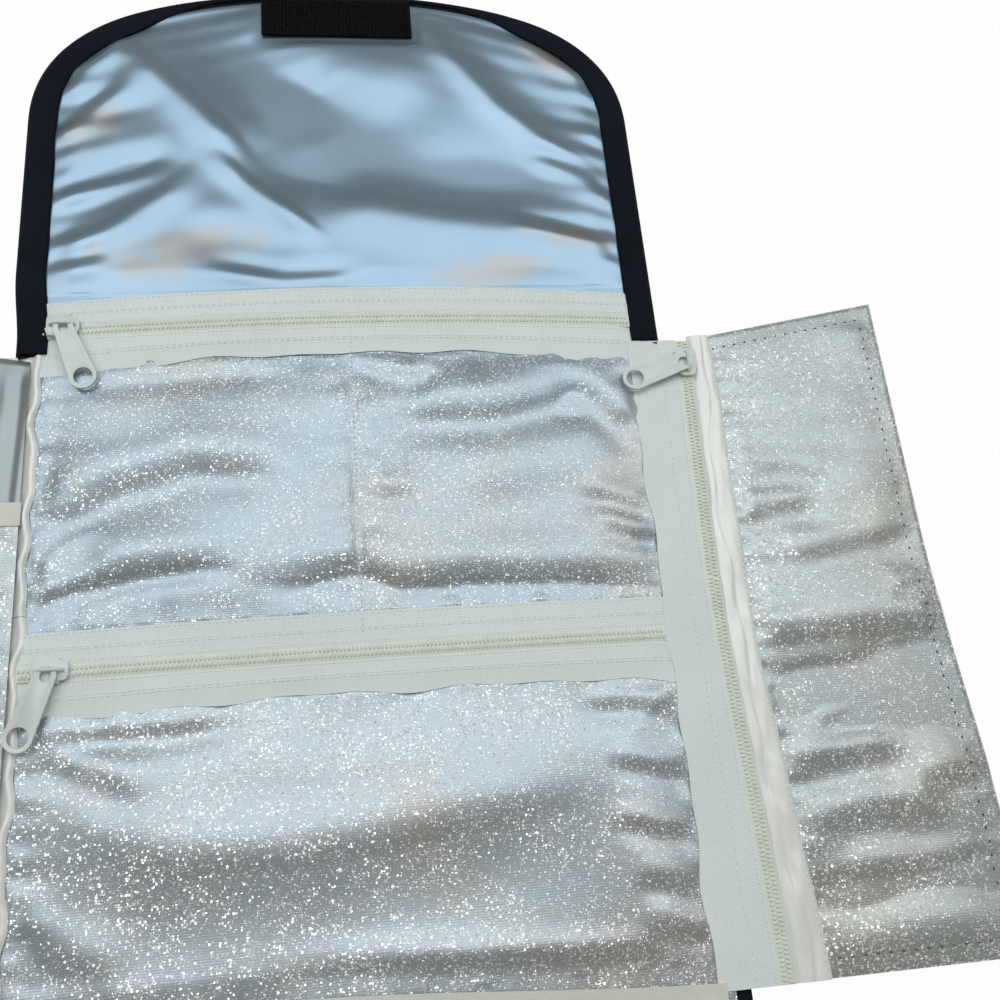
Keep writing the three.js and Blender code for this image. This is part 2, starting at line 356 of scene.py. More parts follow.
# Flakes of one size: chance cells of an uneven pattern, more of them where the crowd is thick
def flakeLayer(tree, coords, crowd, size, share):
    cells = addNode(tree, "TexVoronoi", {"Vector": coords, "Scale": 1 / (size * mm)})
    picks = addNode(tree, "SeparateColor", {"Color": cells.outputs["Color"]})
    limit = ramp(tree, crowd, 0.3, 0.7, 1 - 0.35 * share, 1 - 1.8 * share)
    chosen = calc(tree, "GREATER_THAN", picks.outputs["Red"], limit)
    reach = ramp(tree, picks.outputs["Green"], 0, 1, 0.25, 0.55)
    dot = calc(tree, "LESS_THAN", cells.outputs["Distance"], reach)
    return calc(tree, "MULTIPLY", chosen, dot), cells.outputs["Color"]


def glitterMaterial(name, look, flakes):
    material, tree = newMaterial(name, look["silver"], flakes["clothRoughness"], Sheen_Weight=0.1)
    cloud = noise(tree, scale=14.0, detail=2.0)
    cloth = blendColours(tree, ramp(tree, cloud, 0.52, 0.76), look["silver"], look["warm"])
    crowd = noise(tree, scale=60.0, detail=4.0)
    shift = vectorCalc(tree, "SCALE", noise(tree, scale=1400.0, detail=1.0, output="Color"), 0.0007)
    uneven = vectorCalc(tree, "ADD", coordsOf(tree), shift)
    large, lean = flakeLayer(tree, uneven, crowd, *look["sizes"][0])
    small, _ = flakeLayer(tree, uneven, crowd, *look["sizes"][1])
    flake = calc(tree, "MAXIMUM", large, calc(tree, "MULTIPLY", small, 0.75))
    shade(tree, Base_Color=blendColours(tree, flake, cloth, flakes["colour"]),
          Roughness=ramp(tree, flake, 0, 1, flakes["clothRoughness"], flakes["roughness"]),
          Metallic=ramp(tree, flake, 0, 1, flakes["clothMetal"], flakes["metal"]))
    height = calc(tree, "ADD", weaveHeight(tree, 0.5, 0.8), calc(tree, "MULTIPLY", flake, 2.0))
    normal = addBump(tree, height, 0.15, 0.1)
    # Flakes lie at chance angles in the cloth
    lean = vectorCalc(tree, "SUBTRACT", lean, (0.5, 0.5, 0.5))
    tilt = vectorCalc(tree, "SCALE", lean, calc(tree, "MULTIPLY", flake, 0.9))
    shade(tree, Normal=vectorCalc(tree, "NORMALIZE", vectorCalc(tree, "ADD", normal, tilt)))
    return material


def wovenMaterial(name, colour, shadow, roughness, across, along, strength=0.35, sheen=0.3, shine=0.5):
    material, tree = newMaterial(name, colour, roughness, Sheen_Weight=sheen, Sheen_Roughness=0.5,
                                 Specular_IOR_Level=shine)
    patches = noise(tree, scale=35.0, detail=4.0)
    specks = noise(tree, scale=700.0, detail=2.0)
    tone = ramp(tree, calc(tree, "ADD", patches, calc(tree, "MULTIPLY", specks, 0.5)), 0.5, 0.95)
    weave = weaveHeight(tree, across, along)
    threads = ramp(tree, weave, 0.0, 1.6, 0.88, 1.0)
    shade(tree, Base_Color=vectorCalc(tree, "SCALE", blendColours(tree, tone, shadow, colour), threads),
          Roughness=ramp(tree, specks, 0.3, 0.7, roughness - 0.08, min(1.0, roughness + 0.08)))
    addBump(tree, calc(tree, "ADD", weave, specks), strength, 0.12)
    return material


def mouldedMaterial(name, colour, shadow, roughness, coat):
    material, tree = newMaterial(name, colour, roughness, Coat_Weight=coat, Coat_Roughness=0.25)
    stain = noise(tree, scale=160.0, detail=5.0)
    grain = noise(tree, scale=1500.0, detail=2.0)
    shade(tree, Base_Color=blendColours(tree, ramp(tree, stain, 0.4, 0.7), colour, shadow),
          Roughness=ramp(tree, grain, 0.3, 0.7, roughness - 0.06, roughness + 0.08))
    addBump(tree, grain, 0.08, 0.05)
    return material


# A finish is a material and the slot it fills. Band and thread fill more than one
satin = (satinMaterial("silver blue satin", satinLook), "satin")
ivorySatin = (satinMaterial("ivory satin", ivoryLook), "facing")
pearlSatin = (satinMaterial("pearl satin", pearlLook), "satin")
glitter = {grade: (glitterMaterial(f"{grade} glitter satin", look, flakeLook), "glitter")
           for grade, look in glitterLooks.items()}
navyCloth = (wovenMaterial("navy cloth", (0.005, 0.009, 0.017), (0.003, 0.006, 0.011), 0.88, 0.7, 0.7,
                           sheen=0.0, shine=0.16), "cover")
tapeCloth = (wovenMaterial("zip tape", (0.79, 0.88, 0.89), (0.73, 0.82, 0.83), 0.75, 0.8, 0.55), "tape")
bandCloth = wovenMaterial("cream band", (0.74, 0.77, 0.72), (0.68, 0.71, 0.66), 0.7, 0.7, 0.7)
hookPile = (wovenMaterial("hook pile", (0.004, 0.004, 0.006), (0.002, 0.002, 0.003), 0.95, 1.2, 1.2,
                          strength=0.6, sheen=0.0, shine=0.16), "hook")
coilNylon = (mouldedMaterial("coil nylon", (0.74, 0.80, 0.74), (0.68, 0.74, 0.67), 0.42, 0.1), "coil")
enamel = (mouldedMaterial("slider enamel", (0.66, 0.74, 0.73), (0.60, 0.68, 0.67), 0.38, 0.35), "slider")
paleThread = mouldedMaterial("pale thread", (0.80, 0.86, 0.83), (0.74, 0.80, 0.77), 0.65, 0.0)
darkThread = (mouldedMaterial("dark thread", (0.08, 0.09, 0.11), (0.05, 0.06, 0.075), 0.7, 0.0), "cover")
print("finishes made:", len(bpy.data.materials))


def settle(piece, finish, body=None, bend=None, nodes=()):
    material, slot = finish
    piece.data.materials.clear()
    piece.data.materials.append(material)
    if bend:
        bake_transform(piece)
    else:
        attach(piece, body)
    if nodes:
        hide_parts(*nodes)
    return piece


# One layer of cloth, as x, y and z over its grid. The last values say what it moves with and replaces
def clothPiece(name, place, finish, flat, held, restsOn, area=None, thickness=0.5, flip=False, degrees=60,
               **ride):
    piece = gridPiece(name, place, flip)
    thicken(piece, thickness)
    if degrees:
        smoothPiece(piece, degrees)
    settle(piece, finish, **ride)


# A thicker layer with rounded edges
def platePiece(name, place, values, steps, finish, flip=False, **ride):
    piece = gridPiece(name, place, flip)
    thicken(piece, values["thickness"], values["rounding"], steps)
    smoothPiece(piece, 35)
    return settle(piece, finish, **ride)


# Stitches go along a line of the cloth: keys run along it, and lift is how high they stand out
def stitchRow(name, start, end, line, lift, pitch, size, seed, slot, **ride):
    keys, *axes = line
    at = lambda t: [float(np.interp(t, keys, axis)) for axis in axes]
    draw = np.random.default_rng(seed)
    places = []
    for t in np.arange(start, end, pitch):
        x, y, z = at(t)
        ahead = at(t + 0.5)
        places.append((x, y, z + lift, math.atan2(ahead[1] - y, ahead[0] - x) + draw.uniform(-.12, .12)))
    settle(copies(name, stitchUnit(*size), places), (paleThread, slot), **ride)


overFlapFold = ("center", "flap", (0, 82, 0), (0, 98, 0))
overLowerFold = ("center", "lower", (0, -56, 0), (0, -66, 0))
overWing = {
    ("right", "upper"): ("center", "right_wing_upper", (113, 0, 0), (124, 0, 0)),
    ("right", "lower"): ("lower", "right_wing_lower", (113, 0, 0), (124, 0, 0)),
    ("left", "upper"): ("center", "left_wing_upper", (-112, 0, 0), (-123, 0, 0)),
    ("left", "lower"): ("lower", "left_wing_lower", (-112, 0, 0), (-123, 0, 0)),
}

roll = {"tip": 208.0, "shoulder": 140.0, "half": 120.5, "sideFullness": 0.69, "tipFullness": 0.62,
        "lowerFold": -61.0, "bottom": -208.0, "wingTop": 33.0, "wingRise": 0.18, "wingBottom": -196.0,
        "panelHalf": 112.0}


# The right half of the flap's outline, from its shoulder to its tip
def flapCurve(half, tip, steps):
    t = np.linspace(0, 1, steps)
    first, early, late = (1 - t) ** 3, 3 * (1 - t) ** 2 * t, 3 * (1 - t) * t * t
    handle = roll["shoulder"] + roll["sideFullness"] * (roll["tip"] - roll["shoulder"])
    px = half * (first + early + late * roll["tipFullness"])
    py = roll["shoulder"] * first + handle * early + tip * (late + t ** 3)
    return px, py


def flapOutline(x, half, tip):
    px, py = flapCurve(half, tip, 400)
    return np.interp(np.abs(x), px[::-1], py[::-1])


# The flap's left side lies a little wider than its right
def leanLeft(x, y):
    return x - 2.2 * ease(-x / 110) * ease((y - 40) / 30)


flapSatinValues = {
    "half": 114.5, "tip": 207.3, "low": 57.0, "base": 4.9, "columns": 191, "rows": 161,
    "seam": 59.0, "padding": 1.3, "tipPadding": 0.6, "dip": 0.55, "turnOver": 3.0, "underZip": 4.7,
    "folds": [
        ([(-92, 190), (-74, 172), (-56, 152), (-40, 132), (-28, 114)], 6.5, -2.3, 3.3),
        ([(-52, 130), (-36, 113), (-18, 97), (-3, 82)], 4.5, -1.7, 2.8),
        ([(-38, 119), (3, 107), (38, 99), (70, 95), (114, 86)], 10.5, -1.9, 1.6),
        ([(34, 196), (54, 170), (68, 151), (84, 135), (112, 112)], 5.5, -1.6, 1.8),
        ([(-116, 76), (-90, 92), (-72, 106), (-56, 122)], 6.0, -1.6, 1.8),
        ([(-118, 103), (-92, 111), (-62, 121)], 4.0, -1.0),
        ([(-118, 126), (-99, 143), (-80, 162)], 4.0, -0.9),
        ([(-112, 152), (-99, 166), (-84, 184)], 3.5, -0.8),
        ([(72, 192), (93, 174), (113, 152)], 3.5, -0.8),
        ([(74, 126), (96, 114), (116, 104)], 3.5, -0.7),
        ([(62, 92), (93, 84), (116, 78)], 3.5, -0.9),
        ([(-56, 73), (-24, 66), (10, 67)], 3.5, -0.8),
        ([(-118, 66), (-105, 71), (-84, 77)], 3.5, -0.7),
        ([(-36, 168), (-4, 158), (44, 148)], 15.0, 1.6),
        ([(-66, 92), (-38, 89), (-12, 82)], 8.0, 0.7),
        ([(-110, 142), (-88, 150), (-66, 148)], 8.0, 0.7),
    ],
}


def makeFlapSatin(values):
    half, low, dip = values["half"], values["low"], values["dip"]
    s = np.linspace(-1, 1, values["columns"])
    x = half * (0.55 * s + 0.45 * np.sin(math.pi / 2 * s))
    top = flapOutline(x, half, values["tip"])
    y = low + np.linspace(0, 1, values["rows"])[:, None] * (top - low)
    x = np.broadcast_to(x, y.shape)
    edge = np.minimum(half - np.abs(x), top - y)
    held = ease((edge - 3) / 14) * ease((y - values["seam"]) / 12)
    z = foldHeights(x, y, values["folds"]) * (0.12 + 0.88 * held) + softWaves(x, y, 4, 52, 0.35) * held
    pulled = gathers(y + 0.3 * np.abs(x), edge - 5, 11, 17, 13, 0.55)
    z += pulled * ease((edge - 3) / 7) * ease((y - 62) / 10)
    z += (values["padding"] + values["tipPadding"] * ease((y - 105) / 30)) * held
    underTab = ease((36 - np.abs(x)) / 4) * ease((y - 176) / 6)
    z *= 1 - 0.85 * underTab
    z = np.maximum(z, -dip * np.tanh(np.maximum(-z, 0) / dip)) + values["base"]
    overEdge = 1 - ease((np.abs(x) - 60) / 40)        # at the tip the satin turns over the edge
    z -= overEdge * values["turnOver"] * (1 - ease((top - y) / 5.5))
    z = np.where(y < 61, np.minimum(z, values["underZip"]), z)
    clothPiece("flap_satin", (leanLeft(x, y), y, z), satin, flat=(0.232, 0.156), held="stretched",
               restsOn=["outer_upper"], bend=overFlapFold,
               nodes=("flap_lining", "flap_fold_spine", "center_lining"))


makeFlapSatin(flapSatinValues)
print("flap satin made")


outerValues = {"top": 3.7, "thickness": 3.4, "upperHalf": 111.5, "lowerHalf": 118.8, "meet": 12.0,
               "rounding": 1.3, "tip": 205.5, "widerBelow": 36.0, "inset": 1.5}


def outerPiece(name, x, y, seed, values, **ride):
    z = values["top"] + softWaves(x, y, seed, 60, 0.08)
    platePiece(name, (x, y, z), values, 3, navyCloth, **ride)


def makeOuter(values):
    s = np.linspace(-1, 1, 90)
    v = np.linspace(0, 1, 110)[:, None]
    across = 0.7 * s + 0.3 * np.sin(math.pi / 2 * s)
    meet, upperHalf, lowerHalf = values["meet"], values["upperHalf"], values["lowerHalf"]
    y = meet + v * (flapOutline(across * upperHalf, upperHalf, values["tip"]) - meet)
    x = leanLeft(across * np.where(y > values["widerBelow"], upperHalf, lowerHalf), y)
    outerPiece("outer_upper", x, y, 21, values, bend=overFlapFold,
               nodes=("center_cover", "center_padding", "flap_cover", "flap_padding"))
    low = roll["bottom"] + values["inset"]
    x, y = np.broadcast_arrays(across * lowerHalf, low + v * (meet - low))
    outerPiece("outer_lower", x, y, 22, values, bend=overLowerFold, nodes=("lower_cover", "lower_padding"))


makeOuter(outerValues)
print("outer cover made")


bindingValues = {"width": 11.5, "tipWidth": 2.2, "top": 6.9, "tipTop": 4.4, "low": 36.0, "steps": 260,
                 # its section: how far in and how high, as shares
                 "section": ((1.0, 0.80), (0.97, 0.93), (0.8, 1.0), (0.45, 1.0), (0.18, 0.93), (0.05, 0.75),
                             (0.0, 0.5), (0.04, 0.22), (0.16, 0.05), (0.5, 0.0), (1.0, 0.0))}


def makeBinding(values):
    px, py = flapCurve(roll["half"], roll["tip"], 120)
    rise = np.linspace(values["low"], roll["shoulder"], 60)[:-1]
    px = np.concatenate([np.full(len(rise), roll["half"]), px])
    py = np.concatenate([rise, py])
    px, py = np.concatenate([px, -px[-2::-1]]), np.concatenate([py, py[-2::-1]])
    reach = np.concatenate([[0], np.cumsum(np.hypot(np.diff(px), np.diff(py)))])
    s = np.linspace(0, reach[-1], values["steps"])
    px, py = np.interp(s, reach, px), np.interp(s, reach, py)
    tx, ty = np.gradient(px), np.gradient(py)
    size = np.hypot(tx, ty)
    nx, ny = -ty / size, tx / size                          # points inwards
    side = ease((np.abs(px) - 44) / 52)
    width = values["tipWidth"] + (values["width"] - values["tipWidth"]) * side
    top = values["tipTop"] + (values["top"] - values["tipTop"]) * side
    wave = gathers(s, np.zeros_like(s), 31, 31, 20, 0.14) * side
    lines = []
    for across, up in values["section"]:
        inward = across * (width + (wave if across > 0.7 else 0))
        x, y = px + nx * inward, py + ny * inward
        lines.append((leanLeft(x, y), y, top * up + 0.05))
    piece = tubePiece("flap_edge_binding", lines)
    smoothPiece(piece, 50)
    settle(piece, navyCloth, bend=overFlapFold,
           nodes=("flap_binding", "center_binding_left", "center_binding_right"))


makeBinding(bindingValues)
print("binding made")


tabValues = {"half": 31.5, "low": 183.0, "high": 206.6, "top": 6.9, "thickness": 1.1, "rounding": 0.35}
hookValues = {"foot": 0.32, "tip": 0.2, "height": 1.0, "lean": 0.4, "pitch": 1.5, "lift": 0.3}
patchValues = {"half": 31.5, "low": -123.0, "high": -98.0, "top": 1.25, "thickness": 1.2, "rounding": 0.4}


def tapeGrid(values, columns, rows):
    return np.meshgrid(np.linspace(-values["half"], values["half"], columns),
                       np.linspace(values["low"], values["high"], rows))


def makeTab(values):
    x, y = tapeGrid(values, 64, 27)
    z = values["top"] - 1.5 * ease((y - 200) / 7) + softWaves(x, y, 41, 30, 0.12)
    platePiece("hook_tab_tape", (x, y, z), values, 2, hookPile, body="flap", nodes=("hook_tab",))


def makeHooks(values, tab):
    deselect()
    bpy.ops.mesh.primitive_cone_add(vertices=5, radius1=values["foot"] * mm, radius2=values["tip"] * mm,
                                    depth=values["height"] * mm)
    unit = named("hook")
    tipOver(values["lean"])
    draw = np.random.default_rng(42)
    places = []
    for px in np.arange(-tab["half"] + 1.2, tab["half"] - 1, values["pitch"]):
        for py in np.arange(tab["low"] + 1.2, tab["high"] - 5, values["pitch"]):
            x, y = px + draw.uniform(-.3, .3), py + draw.uniform(-.3, .3)
            places.append((x, y, tab["top"] + values["lift"], draw.uniform(0, 6.3)))
    settle(copies("hook_pile", unit, places), hookPile, body="flap")


def makePatch(values):
    x, y = tapeGrid(values, 40, 18)
    platePiece("loop_patch_tape", (x, y, values["top"]), values, 2, hookPile, body="lower",
               nodes=("loop_patch",))


makeTab(tabValues)
makeHooks(hookValues, tabValues)
makePatch(patchValues)
print("hook tab and loop patch made")


pocketValues = {"half": 113.0, "seam": 109.5, "base": 4.95, "sewn": 4.75, "dip": 0.5}
pocketOneValues = {
    "low": -71.0, "high": 39.0, "columns": 191, "rows": 101, "swell": 1.9, "top": 33.5, "bottom": -66.5,
    "fall": 26, "seed": 51, "sliderRoom": (-103.0, -40.0, 15.0, 10.0), "sliderFloor": 6.0,
    "folds": [
        ([(-124, -74), (-106, -56), (-95, -51), (-75, -47), (-52, -45), (-34, -46)], 3.8, 1.6, 2.0),
        ([(-50, -48), (-24, -53), (0, -51), (14, -57), (40, -56), (72, -58), (124, -63)], 3.6, 1.5, 2.0),
        ([(-118, -40), (-102, -27), (-86, -17), (-58, -9), (-34, -11), (-14, -22)], 6.5, 1.5, 1.2),
        ([(4, 20), (26, 9), (50, 8), (76, 14), (104, 28)], 7, 1.8, 1.3),
        ([(-2, 35), (8, 28), (22, 24), (36, 28)], 5, 1.2),
        ([(0, -15), (9, -23), (26, -22)], 4.5, 0.7),
        ([(78, -24), (96, -30), (112, -34)], 3.5, 0.7),
        ([(84, -37), (98, -42), (112, -45)], 3.5, 0.7),
        ([(-116, 22), (-87, 26), (-50, 29), (-14, 27)], 4, 0.5),
        ([(78, 24), (98, 6), (112, -10)], 6, 1.5),
        ([(30, -26), (62, -22), (100, -18)], 9, 0.7),
    ],
}
pocketTwoValues = {
    "low": -206.0, "high": -88.0, "columns": 191, "rows": 107, "swell": 2.2, "top": -93.5, "bottom": -186,
    "fall": 10, "seed": 61,
    "folds": [
        ([(-118, -96), (-92, -101), (-63, -101), (-34, -98)], 4.0, 1.0),
        ([(-116, -104), (-98, -108), (-78, -118), (-66, -126)], 5.0, 0.8),
        ([(-106, -122), (-88, -138), (-66, -147), (-24, -148), (15, -144), (50, -139), (94, -132)],
         17, 2.1, 0.6),
        ([(78, -121), (96, -126), (114, -128)], 3.0, 0.8),
        ([(76, -140), (96, -146), (114, -147)], 3.0, 0.9),
        ([(82, -158), (100, -164), (114, -166)], 3.5, 0.8),
        ([(70, -103), (92, -104), (112, -108)], 3.5, 0.7),
        ([(84, -172), (101, -178), (114, -180)], 4, 0.9),
        ([(-118, -150), (-98, -166), (-72, -176)], 6, 1.0),
        ([(-40, -176), (6, -178), (56, -182), (108, -188)], 4, 0.9),
    ],
}


def pocketCloth(values, common):
    x, y = tapeGrid({**common, **values}, values["columns"], values["rows"])
    seed = values["seed"]
    side, under, over = common["seam"] - np.abs(x), values["top"] - y, y - values["bottom"]
    edge = np.minimum(side, np.minimum(under, over))
    z = foldHeights(x, y, values["folds"]) * (0.2 + 0.8 * ease(edge / 8))
    z += values["swell"] * ease(np.minimum(side, under) / 26) * ease(over / values["fall"])
    z += softWaves(x, y, seed, 50, 0.4) * ease(edge / 13)
    z += gathers(y, side, seed + 1, 16, 8, 0.4) * ease(under / 8) * ease(over / 8)
    z += gathers(x, under, seed + 2, 21, 7, 0.35) * ease((side - 0.5) / 10)
    z += gathers(x, over, seed + 3, 17, 8, 0.35) * ease((side - 0.5) / 10)
    z = np.maximum(z, -common["dip"]) + common["base"]
    return x, y, np.where(edge < 0, np.minimum(z, common["sewn"]), z)


def makePocketOne(values, common):
    x, y, z = pocketCloth(values, common)
    z = np.minimum(z, pressedFlat(x, y, z, values["sliderFloor"], values["sliderRoom"]))
    seam = np.exp(-(x / 2.3) ** 2) * ease((38 - y) / 4)
    z -= seam * (z - 4.9) * 0.45                            # the row of stitches down the middle
    pulled = gathers(y + 5 * (x > 0), np.abs(x), 57, 17, 8, 0.34)
    z += pulled * (1 - seam) * ease((33 - y) / 8) * ease((y + 66) / 8)
    clothPiece("pocket_one", (x, y, z), glitter["fine"], flat=(0.226, 0.110), held="stretched",
               restsOn=["outer_upper", "outer_lower"],
               bend=overLowerFold, nodes=("pocket1_panel", "lower_fold_spine"))
    return y[:, 0], z[:, z.shape[1] // 2]


def makePocketTwo(values, common):
    clothPiece("pocket_two", pocketCloth(values, common), glitter["mid"], flat=(0.226, 0.118),
               held="stretched", restsOn=["outer_lower"],
               body="lower", nodes=("pocket2_panel", "lower_lining"))


def makeDivider(seamY, seamZ):
    draw = np.random.default_rng(58)
    places = []
    for y in np.arange(-66, 34, 2.1):
        x = draw.uniform(-.25, .25)
        places.append((x, y, float(np.interp(y, seamY, seamZ)) + 0.15, math.pi / 2 + draw.uniform(-.1, .1)))
    divider = copies("pocket_divider_stitches", stitchUnit(1.75, 0.75, 0.6), places)
    settle(divider, (paleThread, "tape"), bend=overLowerFold)


dividerSeam = makePocketOne(pocketOneValues, pocketValues)
makePocketTwo(pocketTwoValues, pocketValues)
makeDivider(*dividerSeam)
print("pockets made")


zipValues = {"half": 112.4, "coil": 2.7, "base": 6.0, "thickness": 0.42, "width": 11.2, "pitch": 1.4,
             "tooth": (1.05, 2.0, 1.2), "toothAside": 1.0, "toothAt": 6.25, "toothTurn": 0.16,
             "bedHalf": 2.8, "bedLow": 5.5, "bedHigh": 6.15}
fineStitch = (1.0, 0.4, 0.4)
tapeStitch = (1.5, 0.42, 0.42)
endStitch = (0.9, 0.5, 0.45)


# Two rows of teeth on a flat bed, along X or Y: across gives the coil's middle
def coilPiece(name, start, end, across, along, values):
    pitch, aside = values["pitch"], values["toothAside"]
    places = []
    for t in np.arange(start + 0.8, end - 0.6, pitch):
        for row, shift in ((1, 0.0), (-1, 0.5)):
            place, turn = (t + shift * pitch, across(t) + row * aside), values["toothTurn"] * row
            if along == "Y":
                place, turn = place[::-1], math.pi / 2 - turn
            places.append((*place, values["toothAt"], turn))
    teeth = copies(name, stitchUnit(*values["tooth"]), places)
    t = np.linspace(start, end, 80)
    wide, low, high = values["bedHalf"], values["bedLow"], values["bedHigh"]
    lines = []
    for side, up in ((-wide, low), (wide, low), (wide, high - 0.3), (wide - 0.5, high), (-wide + 0.5, high),
                     (-wide, high - 0.3)):
        line = (t, across(t) + side)
        lines.append((*(line if along == "X" else line[::-1]), up))
    bed = tubePiece(name + "_bed", lines)
    selectOnly(teeth)
    bed.select_set(True)
    bpy.ops.object.join()
    smoothPiece(teeth, 50)
    return teeth


# The zips lie in shallow bows, and their free edges reach further down at the ends
crossZips = {
    "zip1": {"coil": 47.0, "body": "center", "arch": 0.9, "bow": 3.0, "upperEnd": -1.6, "lowerEnd": 4.2,
             "seed": 71, "seamSide": -1, "upperTuck": 0.3, "coilEnd": 109.0, "pocket": "pocket_one"},
    "zip2": {"coil": -80.0, "body": "lower", "arch": 0.3, "bow": 0.6, "upperEnd": -0.6, "lowerEnd": 2.2,
             "seed": 81, "seamSide": 1, "upperTuck": 1.0, "coilEnd": 106.2, "pocket": "pocket_two"},
}


def zipLine(values, x):
    return values["coil"] + values["arch"] - values["bow"] * (np.asarray(x, float) / 105) ** 2


# The upper tape is sewn down at its edge, and the lower one's edge is free and wavy
def crossTape(label, values, half):
    name = f"{label}_tape_{half}"
    side, wavy = (1, 0.0) if half == "upper" else (-1, 1.0)
    seed, steps = values["seed"] + side, 14
    ends = np.linspace(-zipValues["half"], zipValues["half"], 190)
    x, v = np.meshgrid(ends, np.linspace(0, 1, steps + 1))
    free = ease((v - 0.35) / 0.65) * wavy
    ripple = gathers(x, 0 * x, seed, 52, 10, 0.8)
    reach = zipValues["width"] + values[f"{half}End"] * (x / 108) ** 2
    y = zipLine(values, x) + side * (zipValues["coil"] + v * reach + free * ripple)
    z = zipValues["base"] - 0.25 * v + free * (0.2 * ripple - 0.38) + 0.12 * np.exp(-((v - 0.45) / 0.08) ** 2)
    z += softWaves(x, y, seed + 5, 60, 0.12) * ease(v / 0.5)
    tuck = ease((np.abs(x) - 103) / 6)                # the ends go under the side tapes
    z -= tuck * (z - 5.3) * (1 if wavy else values["upperTuck"])
    if wavy:
        y, z = y[::-1], z[::-1]
    clothPiece(name, (x, y, z), tapeCloth, flat=(0.220, 0.0125), held="laid", restsOn=[values["pocket"]],
               thickness=zipValues["thickness"], body=values["body"], nodes=(f"{label}_{half}_tape",))
    rows = [(0.10, 1.5, fineStitch), (0.42, 2.3, tapeStitch), (0.50, 2.3, tapeStitch)]
    if not wavy:
        rows.append((0.93, 2.0, endStitch))
    for i, (share, pitch, size) in enumerate(rows):
        row = int(round(share * steps))
        row = steps - row if wavy else row
        stitchRow(f"{name}_stitches_{i + 1}", ends[0] + 2, ends[-1] - 2, (ends, ends, y[row], z[row]), 0.05,
                  pitch, size, seed + i, "tape", body=values["body"])
    if side == values["seamSide"]:                          # the pocket's divider runs onto this tape
        ys, zs = y[:, len(ends) // 2], z[:, len(ends) // 2]
        start = ys[0] + 0.8 if wavy else ys[-1] - 6.5
        stitchRow(f"{name}_divider_end", start, start + 6, (ys, np.full_like(ys, 0.2), ys, zs), 0.12, 2.0,
                  (1.6, 0.7, 0.5), seed + 8, "tape", body=values["body"])


def makeCrossZips():
    for label, values in crossZips.items():
        for half in halves:
            crossTape(label, values, half)
        across = lambda t: zipLine(values, t)
        coil = coilPiece(f"{label}_teeth", -112.0, values["coilEnd"], across, "X", zipValues)
        settle(coil, coilNylon, body=values["body"], nodes=(f"{label}_coil",))


makeCrossZips()
print("cross zips made")


bandValues = {"half": 110, "low": -204.5, "high": -184.8, "slant": 9.0, "base": 5.75, "sewn": 4.9}
bottomEdgeValues = {"half": 118.5, "at": -207.6, "height": 6.6,
                    # its section: how far in, and how high as a share
                    "section": ((0, .35), (-.2, .12), (0.8, 0.0), (5.5, 0.0), (6.2, .9), (5.6, 1.0),
                                (2.0, 1.0), (0.5, .85), (0, .6))}


def makeBand(values):
    x, v = np.meshgrid(np.linspace(-values["half"], values["half"], 150), np.linspace(0, 1, 14))
    upper = values["high"] - values["slant"] * ease((x + 40) / 170)    # lower towards the right
    y = values["low"] + v * (upper - values["low"])
    z = values["base"] + softWaves(x, y, 91, 40, 0.2) + 0.4 * np.exp(-((y - upper) / 2.5) ** 2)
    z -= (z - values["sewn"]) * ease((-199.5 - y) / 3.5)
    clothPiece("bottom_band", (x, y, z), (bandCloth, "tape"), flat=(0.220, 0.017), held="laid",
               restsOn=["pocket_two"], body="lower", nodes=("bottom_facing",))


def makeBottomEdge(values):
    t = np.linspace(-values["half"], values["half"], 120)
    lines = [(t, values["at"] + across, 0.05 + up * values["height"]) for across, up in values["section"]]
    edge = tubePiece("bottom_edge_binding", lines)
    smoothPiece(edge, 50)
    settle(edge, navyCloth, body="lower", nodes=("bottom_binding",))


makeBand(bandValues)
makeBottomEdge(bottomEdgeValues)
print("bottom edge made")


wingValues = {
    "inner": 119.4, "outer": 211.6, "top": 3.9, "thickness": 3.2, "rounding": 0.9, "flare": 5.5,
    "panelFrom": 136, "panelSeam": 139, "panelOver": 0.4, "panelBase": 4.6, "panelSewn": 4.9,
    "folds": [
        ([(138, -22), (160, -20), (184, -24)], 5, 0.6),
        ([(134, -40), (150, -36), (176, -34)], 4.5, 0.9),
        ([(150, -56), (178, -52), (212, -47)], 5, 0.8),
        ([(120, -88), (150, -87), (182, -86), (232, -84)], 17, 2.3, 0.5),
        ([(134, -104), (158, -97), (186, -96)], 5, 1.0),
        ([(176, -112), (196, -106), (218, -104)], 5, 1.1),
        ([(138, -131), (160, -128), (188, -126)], 5, 1.3),
        ([(150, -116), (172, -113), (188, -116)], 4, 0.8),
        ([(182, -140), (200, -136), (220, -138)], 5, 0.9),
        ([(140, -152), (168, -147), (200, -150)], 6, 1.1),
        ([(134, -168), (176, -166), (226, -164)], 5, 0.9),
        ([(126, -180), (176, -178), (236, -176)], 9, -1.2),
        ([(190, -70), (203, -67), (216, -66)], 3, 0.6),
        ([(140, 6), (170, -2), (205, 0)], 9, 0.6),
    ],
}


# Lower and upper end of a wing's half over x
def wingSpan(half, x):
    fold = np.full_like(x, roll["lowerFold"], dtype=float)
    if half == "upper":
        return fold, roll["wingTop"] + roll["wingRise"] * (np.abs(x) - roll["panelHalf"])
    return np.full_like(fold, roll["wingBottom"]), fold


def wingGrid(half, start, end, columns, rows, limit=None):
    xs = np.linspace(start, end, columns)
    low, high = wingSpan(half, xs)
    if limit is not None and half == "upper":
        high = np.minimum(high, limit)
    y = low + np.linspace(0, 1, rows)[:, None] * (high - low)
    return np.broadcast_to(xs, y.shape), y


# How far a point lies from the wing's free edges, and from its free end alone
def wingEdge(half, x, y, outer):
    low, high = wingSpan(half, x)
    ends = (high - y) if half == "upper" else (y - low)
    return np.minimum(outer - x, ends), ends


